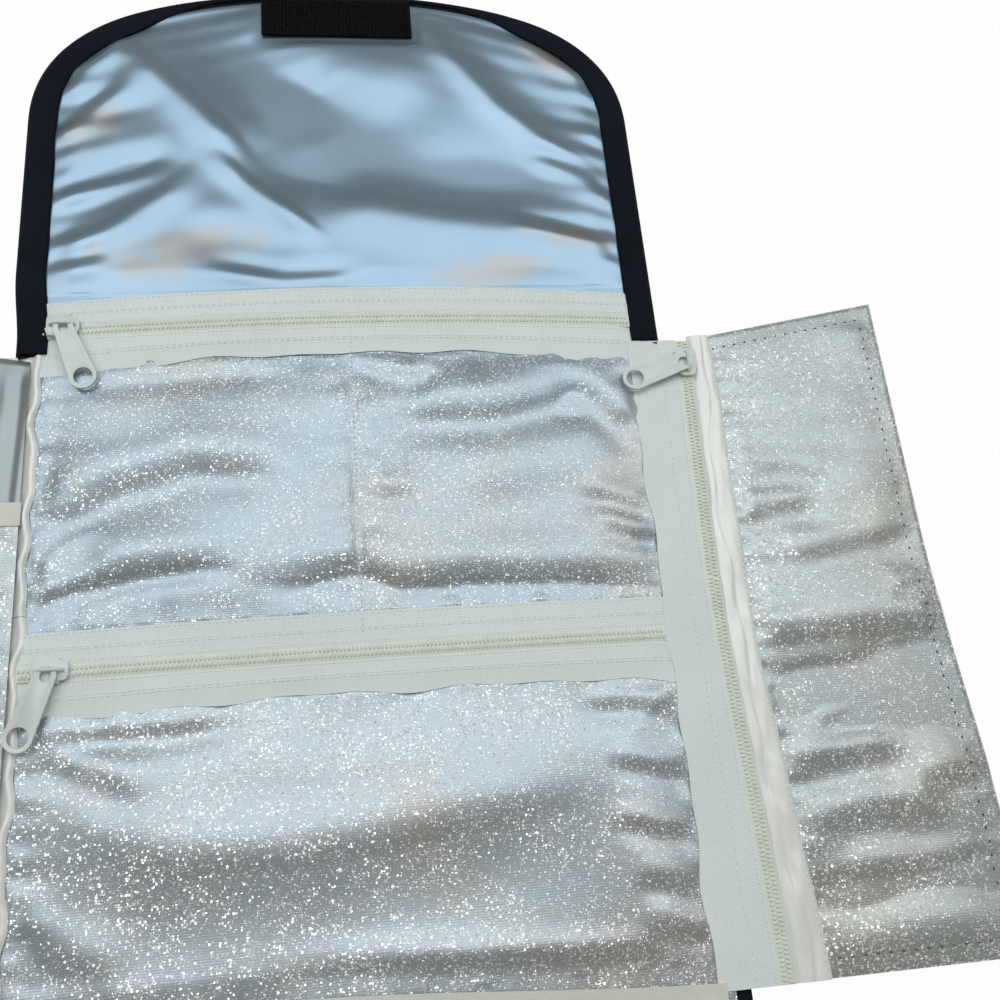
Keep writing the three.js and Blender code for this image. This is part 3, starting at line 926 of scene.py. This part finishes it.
# The right wing's lower half spreads outwards
def flare(x, y):
    share = ease((-45 - y) / 110) * np.clip((x - 140) / 72, 0, 1)
    return x + wingValues["flare"] * share


def makeWingCovers(side, sign, values):
    for half in halves:
        body = f"{side}_wing_{half}"
        x, y = wingGrid(half, values["inner"], values["outer"], 60, 60)
        edge, _ = wingEdge(half, x, y, values["outer"])
        z = values["top"] - 0.5 * (1 - ease(edge / 4)) + softWaves(x, y, 101, 50, 0.06)
        x = flare(x, y) if sign > 0 else -x
        piece = platePiece(f"{body}_back", (x, y, z), values, 2, navyCloth, flip=sign < 0,
                           body=body, nodes=(f"{body}_cover", f"{body}_lining"))


creaseValues = {"axis": 7.0, "radius": 6.2, "back": -12, "sweep": 62.0, "from": 119.6, "to": 210.6}


# Each half has a round tongue inside the other half, which closes the crease when the lower third is folded
def makeCreases(side, sign, values):
    for half, ahead in (("upper", -1), ("lower", 1)):
        body = f"{side}_wing_{half}"
        turns = np.radians(np.linspace(values["back"], values["sweep"], 16))
        turn, x = np.meshgrid(turns, np.linspace(values["from"], values["to"], 40))
        y = roll["lowerFold"] + ahead * values["radius"] * np.sin(turn)
        z = values["axis"] - values["radius"] * np.cos(turn)
        clothPiece(f"{body}_crease", (sign * x, y, z), navyCloth, flat=(0.0910, 0.0100),
                   held="folded", restsOn=[f"{body}_back"], area=0.0910 * 0.0080,
                   flip=sign * ahead < 0, body=body)


# The wing's zip wanders a little from top to bottom
def drift(y):
    return np.interp(y, [-196, -176, -139, -112, -84, -58, -23, 12, 36],
                     [130.2, 130.0, 128.8, 127.6, 126.7, 126.5, 127.5, 128.6, 129.0])


def makeRightPanel(half, body, values):
    outer, seam = values["outer"] + values["panelOver"], values["panelSeam"]
    x, y = wingGrid(half, values["panelFrom"], outer, 96, 110)
    edge, ends = wingEdge(half, x, y, outer)
    held = ease((edge - 1) / 9)
    inner = ease((x - seam) / 8)
    z = foldHeights(x, y, values["folds"]) * (0.25 + 0.75 * held) * inner
    z += ease(edge / 22) * inner + softWaves(x, y, 111, 40, 0.3) * held
    z += gathers(y, values["outer"] - x, 112, 15, 9, 0.3) * ease(ends / 9) * ease(edge / 6)
    z += gathers(y, x - seam, 113, 13, 9, 0.35) * ease(ends / 9)
    z = np.maximum(z, -0.3) + values["panelBase"]
    z -= 0.9 * (1 - ease(edge / 1.3))                 # edges turned under
    z = np.where(x < seam, np.minimum(z, values["panelSewn"]), z)
    x = flare(x, y)
    clothPiece(f"{body}_glitter", (x, y, z), glitter["coarse"],
               flat=(0.077, 0.113 if half == "upper" else 0.136), held="laid", restsOn=[f"{body}_back"],
               body=body, nodes=(f"{body}_panel",))
    return x.ravel(), y.ravel(), z.ravel()


edgeStitchValues = {"size": (1.2, 0.6, 0.5), "pitch": 4.4, "side": 205.0, "below": 6.5, "bottom": -190.0,
                    "lift": 0.1}


# Dark stitches along the panel's free end and outer side
def makeEdgeStitches(half, body, panel, values):
    x, y, z = panel
    draw = np.random.default_rng(115)
    places = []

    def addStitch(px, py, turn):
        height = float(z[np.argmin((x - px) ** 2 + (y - py) ** 2)])
        places.append((px, py, height + values["lift"], turn + draw.uniform(-.2, .2)))

    pitch, side = values["pitch"], values["side"]
    if half == "upper":
        sideYs = np.arange(-58, 42, pitch)
        for px in np.arange(142, side, pitch):
            py = roll["wingTop"] + roll["wingRise"] * (px - roll["panelHalf"]) - values["below"]
            addStitch(px, py, roll["wingRise"])
    else:
        sideYs = np.arange(values["bottom"], -62, pitch)
        for px in np.arange(140.4, side, pitch):
            addStitch(px, values["bottom"], 0.0)
    for py in sideYs:
        addStitch(float(flare(side, py)) + draw.uniform(-.3, .3), py, math.pi / 2)
    settle(copies(f"{body}_stitches", stitchUnit(*values["size"]), places), darkThread, body=body)


pipingValues = {"from": 3.2, "base": 5.2, "sewn": 5.25, "puff": 0.95, "crease": 0.5,
                # its width along Y
                "widthAt": ([-196, -60, -10, 36], [11.0, 10.3, 9.0, 7.8]), "stitch": (1.7, 0.5, 0.45)}


def makePiping(body, ys, length, values):
    v = np.linspace(0, 1, 19)
    sway = 1.3 * np.sin((ys + 40) / 33) + 0.5 * np.sin(ys / 11)
    wide = np.interp(ys, *values["widthAt"])
    x = (drift(ys) + values["from"])[:, None] + v * (wide + 0.3 * sway)[:, None] + 0.3 * sway[:, None]
    y = np.broadcast_to(ys[:, None], x.shape)
    puffed = np.sin(math.pi * v) ** 0.5
    crease = 0.45 + 0.14 * np.sin(ys / 17) + 0.06 * np.sin(ys / 5)
    z = values["base"] + values["puff"] * puffed
    z = z - values["crease"] * np.exp(-((v - crease[:, None]) / 0.09) ** 2)
    z += (softWaves(2.2 * x, y, 117, 26, 0.3) + softWaves(3 * x, y, 118, 11, 0.1)) * puffed
    z[:, -1] = values["sewn"]
    clothPiece(f"{body}_piping", (x, y, z), ivorySatin, flat=(0.0105, length), held="folded",
               restsOn=[f"{body}_back"], body=body, nodes=(f"{body}_facing",))
    stitchRow(f"{body}_piping_stitches", ys[0] + 1, ys[-1] - 1, (ys, x[:, -3], ys, z[:, -3]), 0.08, 2.6,
              values["stitch"], 119, "facing", body=body)


sideTapeValues = {"outerFrom": 2.6, "outerWidth": 4.0, "outerAt": 5.15, "innerFrom": 107.0,
                  "innerTo": -2.7, "innerBase": 6.0, "innerSag": 0.42, "innerThickness": 0.55,
                  "innerTop": 35.5, "coilTop": 35.0}


def makeOuterTape(half, body, ys, length, values):
    x = (drift(ys) + values["outerFrom"])[:, None] + np.linspace(0, 1, 6) * values["outerWidth"]
    clothPiece(f"right_zip_tape_outer_{half}", (x, ys[:, None], values["outerAt"]), tapeCloth,
               flat=(0.0115, length), area=0.4 * 0.0115 * length, held="laid",
               restsOn=[f"{body}_back"], degrees=0, body=body, nodes=(f"right_zip_outer_tape_{half}",))


def makeInnerTape(half, body, low, high, values):
    ys = np.linspace(low, high, 100)
    v = np.linspace(0, 1, 17)
    ripple = gathers(ys, 0 * ys, 121, 47, 10, 1.0)
    left = values["innerFrom"] + 0.7 * ripple
    x = left[:, None] + v * (drift(ys) + values["innerTo"] - left)[:, None]
    y = np.broadcast_to(ys[:, None], x.shape)
    z = values["innerBase"] + 0.1 * (1 - ease(v / 0.4)) * (1.2 * ripple[:, None] - 0.6)
    z += softWaves(x, y, 122, 40, 0.15) - 0.12 * np.sin(v * math.pi)
    overZip = ease((18 - np.abs(y + 80)) / 5) + ease((y - 26) / 5)
    z -= values["innerSag"] * (1 - ease(v / 0.3)) * (1 - overZip)
    bend = overWing["right", half]
    clothPiece(f"right_zip_tape_inner_{half}", (x, y, z), tapeCloth, flat=(0.0185, (high - low) * mm),
               held="laid", restsOn=[f"{body}_back"], thickness=values["innerThickness"], bend=bend,
               nodes=(f"right_zip_inner_tape_{half}",))
    for i, (column, pitch, size) in enumerate(((10, 2.3, tapeStitch), (15, 1.5, fineStitch))):
        stitchRow(f"right_zip_tape_{half}_stitches_{i + 1}", low + 1, high - 1,
                  (ys, x[:, column], ys, z[:, column]), 0.05, pitch, size, 123 + i, "tape", bend=bend)


def makeRightWing(values):
    for half in halves:
        body = f"right_wing_{half}"
        panel = makeRightPanel(half, body, values)
        makeEdgeStitches(half, body, panel, edgeStitchValues)
        low, high = (float(end) for end in wingSpan(half, values["panelFrom"]))
        ys = np.linspace(low, high, 160)
        length = (high - low) * mm
        makePiping(body, ys, length, pipingValues)
        makeOuterTape(half, body, ys, length, sideTapeValues)
        top = min(high, sideTapeValues["coilTop"])
        coil = coilPiece(f"right_zip_teeth_{half}", low, top, drift, "Y", zipValues)
        settle(coil, coilNylon, body=body, nodes=(f"right_zip_coil_{half}",))
        makeInnerTape(half, body, low, min(high, sideTapeValues["innerTop"]), sideTapeValues)


leftValues = {
    "satinFrom": 114.6, "satinLow": -48.0, "satinBase": 5.6, "pocketTop": -21.5, "pocketBase": 5.9,
    "pocketFloor": 5.45, "thickness": 0.4, "turnUnder": 1.1, "foldShare": 0.55, "foldShift": 11.0,
    "sliderRoom": (134.0, -91.0, 16.0, 22.0), "hem": (-29.5, -21.0), "hemThickness": 0.6,
    "rolledEdge": 110.7, "gussetTo": 124.0, "gussetBase": 4.5, "gussetTop": 35.5,
    "folds": [
        ([(116, 34), (140, 20), (172, 16), (206, 24)], 6, 0.8),
        ([(118, 8), (146, -2), (176, 0), (208, 8)], 7, 0.9),
        ([(122, -12), (158, -15), (204, -11)], 5, 0.6),
    ],
}


# The left wing is drawn as a right one and mirrored
def leftPiece(name, x, y, z, finish, **more):
    clothPiece(name, (-x, y, z), finish, flip=True, **more)


def makeLeftSatin(values):
    outer = wingValues["outer"] + 0.4
    x, y = wingGrid("upper", values["satinFrom"], outer, 110, 110)
    y = values["satinLow"] + (y - y[0]) * (y[-1] - values["satinLow"]) / (y[-1] - y[0])
    edge, _ = wingEdge("upper", x, y, outer)
    held = ease((edge - 1) / 9)
    z = values["satinBase"] + (softWaves(x, y, 131, 60, 0.3) + foldHeights(x, y, values["folds"])) * held
    z += 0.75 * np.sin((x - 113) / 1.25 + 0.6 * np.sin(y / 19)) * np.exp(-(x - 114) / 9) * held
    z = np.maximum(z, 4.9) - values["turnUnder"] * (1 - ease(edge / 2.2))
    z = np.where(y < values["pocketTop"] - 1, np.minimum(z, 5.0), z)
    leftPiece("left_wing_satin", x, y, z, pearlSatin, flat=(0.098, 0.092), thickness=values["thickness"],
              held="laid", restsOn=["left_wing_upper_back"], bend=overWing["left", "upper"])


def makeLeftPocket(half, values):
    outer = wingValues["outer"] + 0.7
    rows = 60 if half == "upper" else 110
    x, y = wingGrid(half, values["satinFrom"] - 0.2, outer, 110, rows, values["pocketTop"])
    edge, ends = wingEdge(half, x, y, outer)
    if half == "upper":
        edge, ends = outer - x, np.full_like(ends, 40)
    held = ease((edge - 1) / 9)
    z = values["pocketBase"] + (softWaves(x, y, 135, 66, 0.3) + 0.3) * held
    folds = foldHeights(x, y + values["foldShift"], wingValues["folds"])
    z += values["foldShare"] * folds * held * ease((x - 117) / 12)
    z += gathers(y, x - 116, 136, 17, 10, 0.35) * ease(ends / 9) * ease((x - 114) / 5)
    floor = values["pocketFloor"]
    z = np.maximum(pressedFlat(x, y, z, floor, values["sliderRoom"]), floor)
    z -= values["turnUnder"] * (1 - ease(edge / 2.2))
    leftPiece(f"left_pocket_{half}", x, y, z, glitter["coarse"], thickness=values["thickness"],
              flat=(0.098, 0.040 if half == "upper" else 0.136), held="laid",
              restsOn=[f"left_wing_{half}_back"],
              bend=overWing["left", half], nodes=(f"left_slip_pocket_{half}",))
    return x, y, z


def makeHem(pocket, values):
    px, py, pz = pocket
    low, high = values["hem"]
    xs = np.linspace(values["satinFrom"] - 0.8, wingValues["outer"] + 0.6, 90)
    x, y = np.meshgrid(xs, np.linspace(low, high, 9))
    rows = np.clip(np.searchsorted(py[:, 0], y[:, 0]), 0, len(py) - 1)
    z = np.array([np.interp(x[i], px[r], pz[r]) for i, r in enumerate(rows)])
    z += 0.5 + 0.35 * np.sin((y - low) / (high - low) * math.pi)
    leftPiece("left_pocket_hem", x, y, z, (bandCloth, "facing"), flat=(0.098, 0.0100),
              thickness=values["hemThickness"], held="folded", restsOn=["left_pocket_upper"],
              bend=overWing["left", "upper"], nodes=("left_slip_pocket_hem",))


def makeGusset(half, values):
    low, high = (float(end) for end in wingSpan(half, roll["panelHalf"]))
    ys = np.linspace(low + 0.1, values["gussetTop"] if half == "upper" else high - 0.1, 110)
    v = np.linspace(0, 1, 21)
    ripple = gathers(ys, 0 * ys, 141, 29, 10, 1.0)[:, None]
    inner = values["rolledEdge"] + 0.8 * ripple
    x = inner + v * (values["gussetTo"] - inner)
    y = np.broadcast_to(ys[:, None], x.shape)
    rolled = np.exp(-((v - 0.12) / 0.11) ** 2) * (1.5 + 0.25 * ripple)
    z = values["gussetBase"] + 1.25 * rolled + gathers(y + x, 0 * x, 142, 9, 9, 0.1)
    leftPiece(f"left_gusset_{half}", x, y, z, ivorySatin,
              flat=(0.0155, (ys[-1] - ys[0]) * mm), held="folded", restsOn=[f"left_wing_{half}_back"],
              bend=overWing["left", half], nodes=(f"left_wing_gusset_{half}",))


def makeLeftWing(values):
    makeLeftSatin(values)
    for half in halves:
        pocket = makeLeftPocket(half, values)
        if half == "upper":
            makeHem(pocket, values)
        makeGusset(half, values)


for side, sign in (("right", 1), ("left", -1)):
    makeWingCovers(side, sign, wingValues)
for side, sign in (("right", 1), ("left", -1)):
    makeCreases(side, sign, creaseValues)
makeRightWing(wingValues)
makeLeftWing(leftValues)
print("wings made")


sliderValues = {"length": 11.5, "width": 8.4, "base": 6.3, "top": 8.2, "plate": 1.2, "nose": 0.74, "pin": 9.7,
                "archReach": 4.2, "wire": 0.6, "archFlat": 0.45, "archLift": 0.75}
pullValues = {"length": 28.6, "endRadius": 4.8, "neck": 3.5, "head": 1.3, "thickness": 1.3, "rim": 0.8,
              "sunk": 0.3, "hole": 3.3, "eye": 1.7, "eyeAt": -2.0, "eyeStretch": 1.25, "droop": 4.0}


def cutOrJoin(piece, other, how):
    boolean = piece.modifiers.new("shape", "BOOLEAN")
    boolean.operation = how
    boolean.object = other
    boolean.solver = "EXACT"
    boolean.use_self = True
    applyAll(piece)
    bpy.data.objects.remove(other)


# Edges are rounded, and the piece, shaped in millimetres, is brought to its real size
def roundOff(piece, width):
    addRounding(piece, width, 2, 40)
    applyAll(piece)
    piece.data.transform(Matrix.Scale(mm, 4))
    smoothPiece(piece, 40)


# The primitive just added is stretched, and its place becomes part of its shape
def stretched(x, y, z):
    bpy.ops.transform.resize(value=(x, y, z))
    bpy.ops.object.transform_apply(location=True, rotation=True, scale=True)
    return bpy.context.object


def boxAt(x, y, z, location):
    deselect()
    bpy.ops.mesh.primitive_cube_add(size=1, location=location)
    return stretched(x, y, z)


def roundBar(radius, length, location, stretch=1.0):
    deselect()
    bpy.ops.mesh.primitive_cylinder_add(vertices=32, radius=radius, depth=length, location=location)
    return stretched(1, stretch, 1)


def pick(kind, piece, wanted):
    bpy.context.tool_settings.mesh_select_mode = (False, kind == "edges", kind == "faces")
    for group in (piece.data.vertices, piece.data.edges, piece.data.polygons):
        for item in group:
            item.select = False
    for item in piece.data.edges if kind == "edges" else piece.data.polygons:
        item.select = wanted(item)
    selectOnly(piece)
    setMode("EDIT")


def sliderShape(values):
    thick, top, flat = values["plate"], values["top"], values["archFlat"]
    plate = boxAt(values["length"], values["width"], thick, (0, 0, top - thick / 2))
    points = plate.data.vertices
    for vertex in points:
        if vertex.co.x > 0:
            vertex.co.y *= values["nose"]
    pick("edges", plate, lambda e: abs(points[e.vertices[0]].co.z - points[e.vertices[1]].co.z) > 0.5)
    bpy.ops.mesh.bevel(offset=1.7, segments=4)
    setMode("OBJECT")
    for sign in (-1, 1):                                    # the flanges over the coil
        cutOrJoin(plate, boxAt(7.6, 1.0, 1.4, (-0.9, sign * 3.68, values["base"] + 0.7)), "UNION")
    deselect()
    bpy.ops.mesh.primitive_torus_add(major_radius=values["archReach"], minor_radius=values["wire"],
                                     major_segments=40, minor_segments=10)
    arch = named("arch")
    tipOver(math.pi / 2)
    for vertex in arch.data.vertices:
        lift = vertex.co.z / max(math.hypot(vertex.co.x, vertex.co.z), 1e-6)
        vertex.co.z += values["pin"] + values["archLift"] - values["archReach"] * (flat + lift * (1 - flat))
        vertex.co.z = max(vertex.co.z, top - 0.8)
    cutOrJoin(plate, arch, "UNION")
    roundOff(plate, 0.2)
    return plate


def pullShape(values):
    thick = values["thickness"]
    endY = values["endRadius"] + values["head"] - values["length"]
    deselect()
    bpy.ops.mesh.primitive_circle_add(vertices=64, radius=values["endRadius"], fill_type="NGON")
    pull = named("pull")
    for vertex in pull.data.vertices:
        if vertex.co.y > 1e-4:
            vertex.co.x *= values["neck"] / values["endRadius"]
            vertex.co.y = vertex.co.y * values["neck"] / values["endRadius"] + values["head"] - values["neck"]
        else:
            vertex.co.y += endY
        vertex.co.z = -thick / 2
    pick("faces", pull, lambda f: True)
    bpy.ops.mesh.extrude_region_move(TRANSFORM_OT_translate={"value": (0, 0, thick)})
    bpy.ops.mesh.select_all(action="SELECT")
    bpy.ops.mesh.normals_make_consistent(inside=False)
    setMode("OBJECT")
    for sign in (1, -1):                                    # a raised rim on both faces
        pick("faces", pull, lambda f: len(f.vertices) > 20 and f.normal.z * sign > 0.9)
        bpy.ops.mesh.inset(thickness=values["rim"])
        bpy.ops.transform.translate(value=(0, 0, -sign * values["sunk"]))
        setMode("OBJECT")
    cutOrJoin(pull, roundBar(values["hole"], 6, (0, endY, 0)), "DIFFERENCE")
    cutOrJoin(pull, roundBar(values["eye"], 6, (0, values["eyeAt"], 0), values["eyeStretch"]), "DIFFERENCE")
    roundOff(pull, 0.16)
    return pull


# Each slider's x, y and turn, and its pull's skew
sliderPlaces = {"zip1": (-103.5, 46.5, 0, 21), "zip2": (-101, -80, 0, -22), "right_zip": (129, 25, -90, 17)}


def turned(degrees, axis):
    return Matrix.Rotation(math.radians(degrees), 4, axis)


def placeMetal(piece, name, move, body):
    piece.name = piece.data.name = name
    piece.data.transform(move)
    settle(piece, enamel, body=body, nodes=(body,))


def makeSliders():
    for label, (x, y, turn, skew) in sliderPlaces.items():
        at = Matrix.Translation((x * mm, y * mm, 0)) @ turned(turn, "Z")
        placeMetal(sliderShape(sliderValues), f"{label}_slider_body", at, f"{label}_slider")
        pin = Matrix.Translation((0, 0, sliderValues["pin"] * mm))
        hang = turned(pullValues["droop"], "X") @ turned(skew, "Z")
        placeMetal(pullShape(pullValues), f"{label}_pull_tab", at @ pin @ hang, f"{label}_pull")


makeSliders()
print("sliders and pulls made")


stageValues = {"size": 8.0, "below": -0.0004, "white": (0.92, 0.92, 0.92, 1), "glow": 0.97}
roomValues = {"dim": (0.27, 0.25, 0.215, 1), "seen": (1, 1, 1, 1)}


def emptyTree(owner):
    owner.use_nodes = True
    owner.node_tree.nodes.clear()
    return owner.node_tree


def mixInto(tree, output, share, first, second):
    mix = addNode(tree, "MixShader", {0: share, 1: first.outputs[0], 2: second.outputs[0]})
    addNode(tree, output, {"Surface": mix.outputs[0]})


def makeStage(values):
    deselect()
    bpy.ops.mesh.primitive_plane_add(size=values["size"], location=(0, 0, values["below"]))
    floor = named("floor")
    material = bpy.data.materials.new("pale floor")
    tree = emptyTree(material)
    rays = addNode(tree, "LightPath", {}).outputs
    seen = calc(tree, "MAXIMUM", rays["Is Glossy Ray"], rays["Is Transmission Ray"])
    seen = calc(tree, "MAXIMUM", rays["Is Camera Ray"], seen)
    matte = addNode(tree, "BsdfDiffuse", {"Color": values["white"]})
    glow = addNode(tree, "Emission", {"Color": (1, 1, 1, 1), "Strength": 1.0})
    mixInto(tree, "OutputMaterial", calc(tree, "MULTIPLY", seen, values["glow"]), matte, glow)
    floor.data.materials.append(material)


def makeRoom(values):
    world = bpy.context.scene.world or bpy.data.worlds.new("room")
    bpy.context.scene.world = world
    tree = emptyTree(world)
    rays = addNode(tree, "LightPath", {}).outputs
    dim = addNode(tree, "Background", {"Color": values["dim"], "Strength": 1.0})
    seen = addNode(tree, "Background", {"Color": values["seen"], "Strength": 1.0})
    mixInto(tree, "OutputWorld", rays["Is Camera Ray"], dim, seen)


def areaLight(name, towards, distance, size, colour, radiance):
    direction = Vector(towards).normalized()
    light = bpy.data.lights.new(name, "AREA")
    light.shape = "RECTANGLE"
    light.size, light.size_y = size
    light.color = colour
    light.energy = radiance * math.pi * size[0] * size[1]
    lamp = bpy.data.objects.new(name, light)
    bpy.context.scene.collection.objects.link(lamp)
    lamp.location = direction * distance
    lamp.rotation_euler = direction.to_track_quat("Z", "Y").to_euler()


makeStage(stageValues)
makeRoom(roomValues)
areaLight("window", (0.0, 0.338, 0.94), 1.3, (2.3, 0.85), (0.93, 0.98, 1.0), 2.2)
areaLight("ceiling", (-0.15, -0.12, 1.0), 1.3, (0.9, 0.3), (1.0, 0.86, 0.76), 1.0)

cameraValues = {"at": (0.00255, -0.1444, 0.3468), "right": (0.98993, -0.08598, 0.11241),
                "up": (0.04455, 0.94322, 0.32915), "back": (-0.13433, -0.32083, 0.93755), "lens": 36.0}


def makeCamera(values):
    lens = bpy.data.cameras.new("photo camera")
    lens.sensor_width = 36.0
    lens.lens = values["lens"]
    lens.clip_start = 0.01
    camera = bpy.data.objects.new("photo camera", lens)
    bpy.context.scene.collection.objects.link(camera)
    turn = Matrix((values["right"], values["up"], values["back"])).transposed().to_4x4()
    camera.matrix_world = Matrix.Translation(values["at"]) @ turn
    bpy.context.scene.camera = camera


makeCamera(cameraValues)
bpy.context.scene.view_settings.view_transform = "Standard"
print("stage, light and camera made")

bpy.context.view_layer.update()
